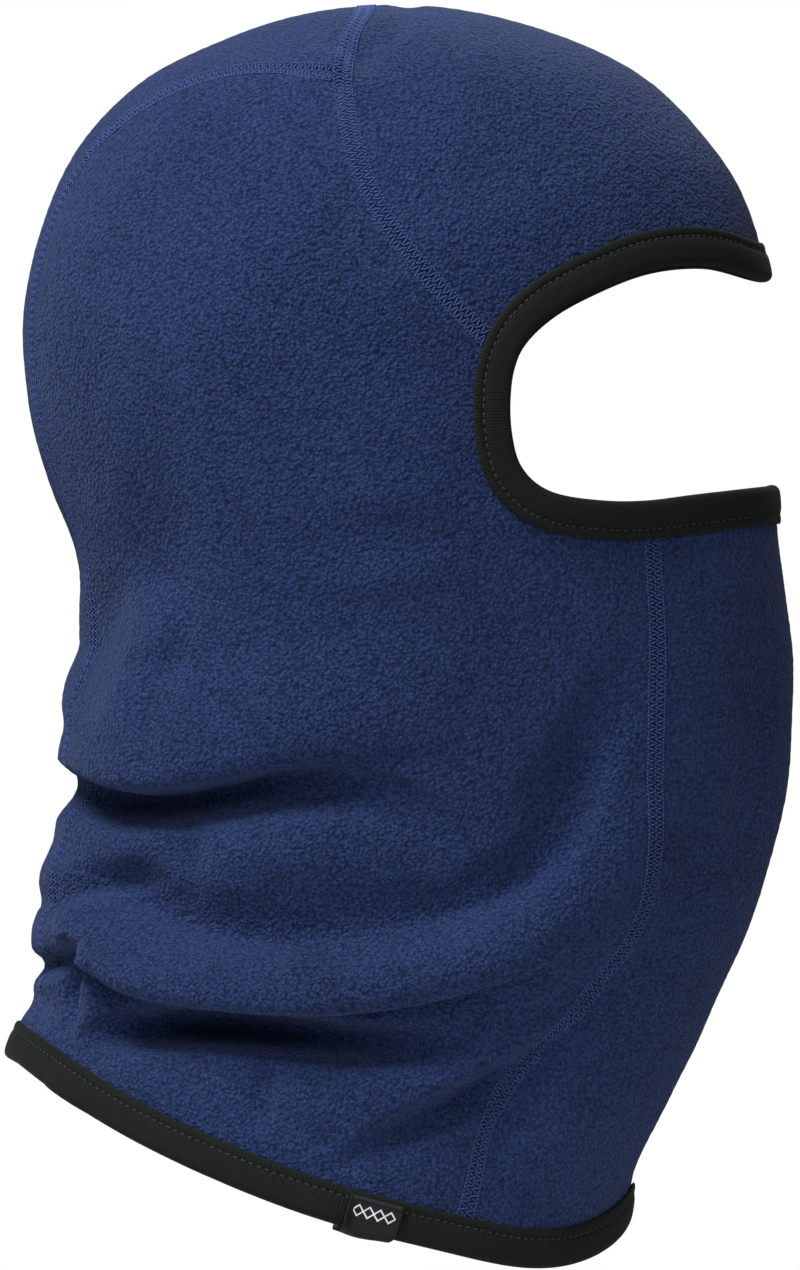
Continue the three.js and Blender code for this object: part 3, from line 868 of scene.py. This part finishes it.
faceStart = cutAt(foreheadLine, faceLine(0.2))[0]
chinOpen = cutAt(faceLine(0.2), chinLine)[1]
hemStart = hem - 1.02
chinTo = ringAt(chinLine, hemStart)
gussetTo = ringAt(gussetLine, hemStart)
foreheadHalf = between(foreheadLine, 0, faceStart)
wholeForehead = np.vstack([mirrored(foreheadHalf[1:])[::-1], foreheadHalf])
makeSeam("forehead_seam_thread", evenly(wholeForehead, 400))
makeSeam("gusset_seam_thread_left", between(gussetLine, 3, gussetTo))
makeSeam("gusset_seam_thread_right", mirrored(between(gussetLine, 3, gussetTo)))
makeSeam("chin_seam_thread_left", between(chinLine, chinOpen, chinTo))
makeSeam("chin_seam_thread_right", mirrored(between(chinLine, chinOpen, chinTo)))


def makeTopstitch(name, spots, turn, bulge):
    # A dashed line of stitches on the tape, and the small loops that show along its fleece edge.
    place, along_, normal, across = lineFrames(spots, True)
    run = np.concatenate([[0], np.cumsum(np.linalg.norm(np.diff(place, axis=0), axis=1))])
    total = run[-1] + np.linalg.norm(place[0] - place[-1])
    rows = []
    for pitch, s, height, length in ((tape["pitch"], tape["stitchAt"], 1.0, 1.6), (0.9, 0.1, 0.75, 0.7)):
        at = (np.arange(round(total / pitch)) + 0.5) * pitch
        i = np.minimum(np.searchsorted(run, at), len(place) - 1)
        height = height + bulge(at, np.full(len(i), s), place[i])
        laid = place[i] + across[i] * turn * s + normal[i] * np.reshape(height, (-1, 1))
        rows.append((laid, along_[i], normal[i], np.full(len(i), length)))
    mesh = stitchMesh(name, *(np.concatenate(parts) for parts in zip(*rows)), 0.45)
    finish(name, mesh, [blackThread])


makeTopstitch("face_binding_topstitch", faceLoop, -1, lambda at, s, place: 0)
makeTopstitch("hem_binding_topstitch", hemLoop, -1, overTag)
print("stitches done")


# labels
# towards the face
tagAlong = hemAlong[tagRow] * np.sign(hemAlong[tagRow, 0])
# The folded strip: [how far down from the tape's fleece edge, height over the cloth]
tagPath = [[1.2, 2.0], [2.0, 2.4], [3.2, 2.45], [5, 2.35], [7, 2.25], [9, 2.25], [10.6, 2.2], [11.5, 1.7],
           [11.9, 0.6], [11.9, -1.0], [11.8, -2.8], [11.3, -4.2], [10, -4.6], [8, -4.5], [5, -4.3],
           [2.5, -4.2]]


def makeTag():
    path = smoothLine(tagPath, 70)
    mesh, u, v = gridMesh("loop_label", 40, len(path) - 1)
    row = np.rint(v * (len(path) - 1)).astype(int)
    s, h = path[row].T
    a = (u - 0.5) * tag["width"]
    drop = np.clip(s / 11, 0, 1)
    sag = 0.35 * np.cos(a / 2.6 + 0.5) - 1.5 * np.clip((a - 6.2) / 1.65, 0, 1) ** 2.2
    s = s + drop**3 * sag
    curl = np.clip((-a - 5.6) / 2.2, 0, 1) ** 1.6
    h = h + 2.2 * curl * drop * (h > 0) - 0.8 * curl * drop * (h < 0)
    a = a - 0.06 * s - 0.9 * drop * (h < -1)
    place = (hemPlaces[tagRow] + a[:, None] * tagAlong - s[:, None] * hemAcross[tagRow]
             + h[:, None] * hemNormals[tagRow])
    down = np.concatenate([[0], np.cumsum(np.linalg.norm(np.diff(path, axis=0), axis=1))])
    shape(mesh, place, np.stack([u * tag["width"], down[row]], axis=1))
    piece = finish("loop_label", mesh, [wovenTag, tagLining])
    layer = wall(piece, tag["thickness"], 0)
    layer.material_offset = 1
    # the short tight stitches that hold it
    bar = np.linspace(-tag["width"] / 2 + 1, tag["width"] / 2 - 1, 24)[:, None]
    over = hemPlaces[tagRow] + bar * tagAlong - 1.9 * hemAcross[tagRow] + 2.7 * hemNormals[tagRow]
    lean = unit(-hemAcross[tagRow] + 0.25 * tagAlong * np.ones((len(bar), 1)))
    stitches = stitchMesh("loop_label_bartack", over, lean, np.tile(hemNormals[tagRow], (len(bar), 1)),
                          1.1, 0.4)
    finish("loop_label_bartack", stitches, [blackThread])


care = dict(x=(-72, -46), z=(-311, -256), inside=-3.1, free=0.45, thickness=0.25)


def makeCareLabel():
    (back, front), (low, top) = care["x"], care["z"]
    mesh, u, v = gridMesh("care_label", front - back, top - low)
    side = np.stack([back + u * (front - back), top + v * (low - top)], axis=1)
    # it hangs straight from its top edge, just clear of the deepest fold of the wall
    wallPlace, _ = onHood(fromSide(side), care["inside"])
    topPlace, _ = onHood(fromSide(np.stack([side[:, 0], np.full(len(side), top)], axis=1)), care["inside"])
    inwards = np.clip(v / care["free"], 0, 1)
    inwards = inwards * inwards * (3 - 2 * inwards)
    deep = topPlace[:, 1] + (wallPlace[:, 1].min() - topPlace[:, 1]) * inwards
    weave = np.stack([u * (front - back), v * (top - low)], axis=1)
    shape(mesh, np.stack([side[:, 0], deep, side[:, 1]], axis=1), weave)
    piece = finish("care_label", mesh, [careSatin])
    wall(piece, care["thickness"], 0)


makeTag()
makeCareLabel()
print("labels done")


# studio
def softbox(name, place, aim, size, power):
    light = bpy.data.lights.new(name, "AREA")
    light.shape, light.size, light.energy = "DISK", size, power
    lamp = bpy.data.objects.new(name, light)
    lamp.location = place
    lamp.rotation_euler = (Vector(aim) - Vector(place)).to_track_quat("-Z", "Y").to_euler()
    bpy.context.scene.collection.objects.link(lamp)


middle = Vector((0.0014, 0, -0.1744))
softbox("softboxTop", (-0.6, -0.68, 1.15), middle, 0.7, 34.5)
softbox("softboxCamera", (-0.2, -1.6, 0.6), middle, 0.9, 9.8)
softbox("softboxBack", (0.3, 1.2, 0.8), middle, 1.0, 8)

world = bpy.data.worlds.new("studio")
bpy.context.scene.world = world
world.use_nodes = True
sky = world.node_tree
seen = sky.nodes["Background"]
seen.inputs["Color"].default_value, seen.inputs["Strength"].default_value = (1, 1, 1, 1), 1.0
glow = add(sky, "ShaderNodeBackground", Color=(1, 1, 1, 1), Strength=0.15)
chooser = add(sky, "ShaderNodeMixShader", {0: add(sky, "ShaderNodeLightPath").outputs["Is Camera Ray"],
                                           1: glow.outputs[0], 2: seen.outputs[0]})
sky.links.new(chooser.outputs[0], sky.nodes["World Output"].inputs["Surface"])

floorLook = dict(half=0.45, z=-0.41)
floorMesh = bmesh.new()
bmesh.ops.create_grid(floorMesh, x_segments=1, y_segments=1, size=floorLook["half"],
                      matrix=Matrix.Translation((0, 0, floorLook["z"])))
floorData = bpy.data.meshes.new("floor")
floorMesh.to_mesh(floorData)
floorMesh.free()
floor = bpy.data.objects.new("floor", floorData)
bpy.context.scene.collection.objects.link(floor)
paper, paperTree, paperShader = newMaterial("palePaper", Roughness=0.9)
paperPlace = add(paperTree, "ShaderNodeTexCoord").outputs["Object"]
paperGrain = add(paperTree, "ShaderNodeTexNoise", {"Vector": paperPlace}, Scale=30.0)
paperTone = mixColours(paperTree, paperGrain.outputs[0], (0.8, 0.8, 0.8, 1), (0.84, 0.84, 0.84, 1))
paperTree.links.new(paperTone, paperShader.inputs["Base Color"])
floorData.materials.append(paper)

view = dict(lens=900, height=0.3556)
camera = bpy.data.cameras.new("camera")
camera.lens, camera.sensor_width = view["lens"], 36
camera.clip_start, camera.clip_end = 0.1, 100
eye = bpy.data.objects.new("camera", camera)
eye.location = middle + Vector((0, -view["height"] * view["lens"] / camera.sensor_width, 0))
eye.rotation_euler = (math.pi / 2, 0, 0)
bpy.context.scene.collection.objects.link(eye)
bpy.context.scene.camera = eye
bpy.context.scene.view_settings.view_transform = "Standard"
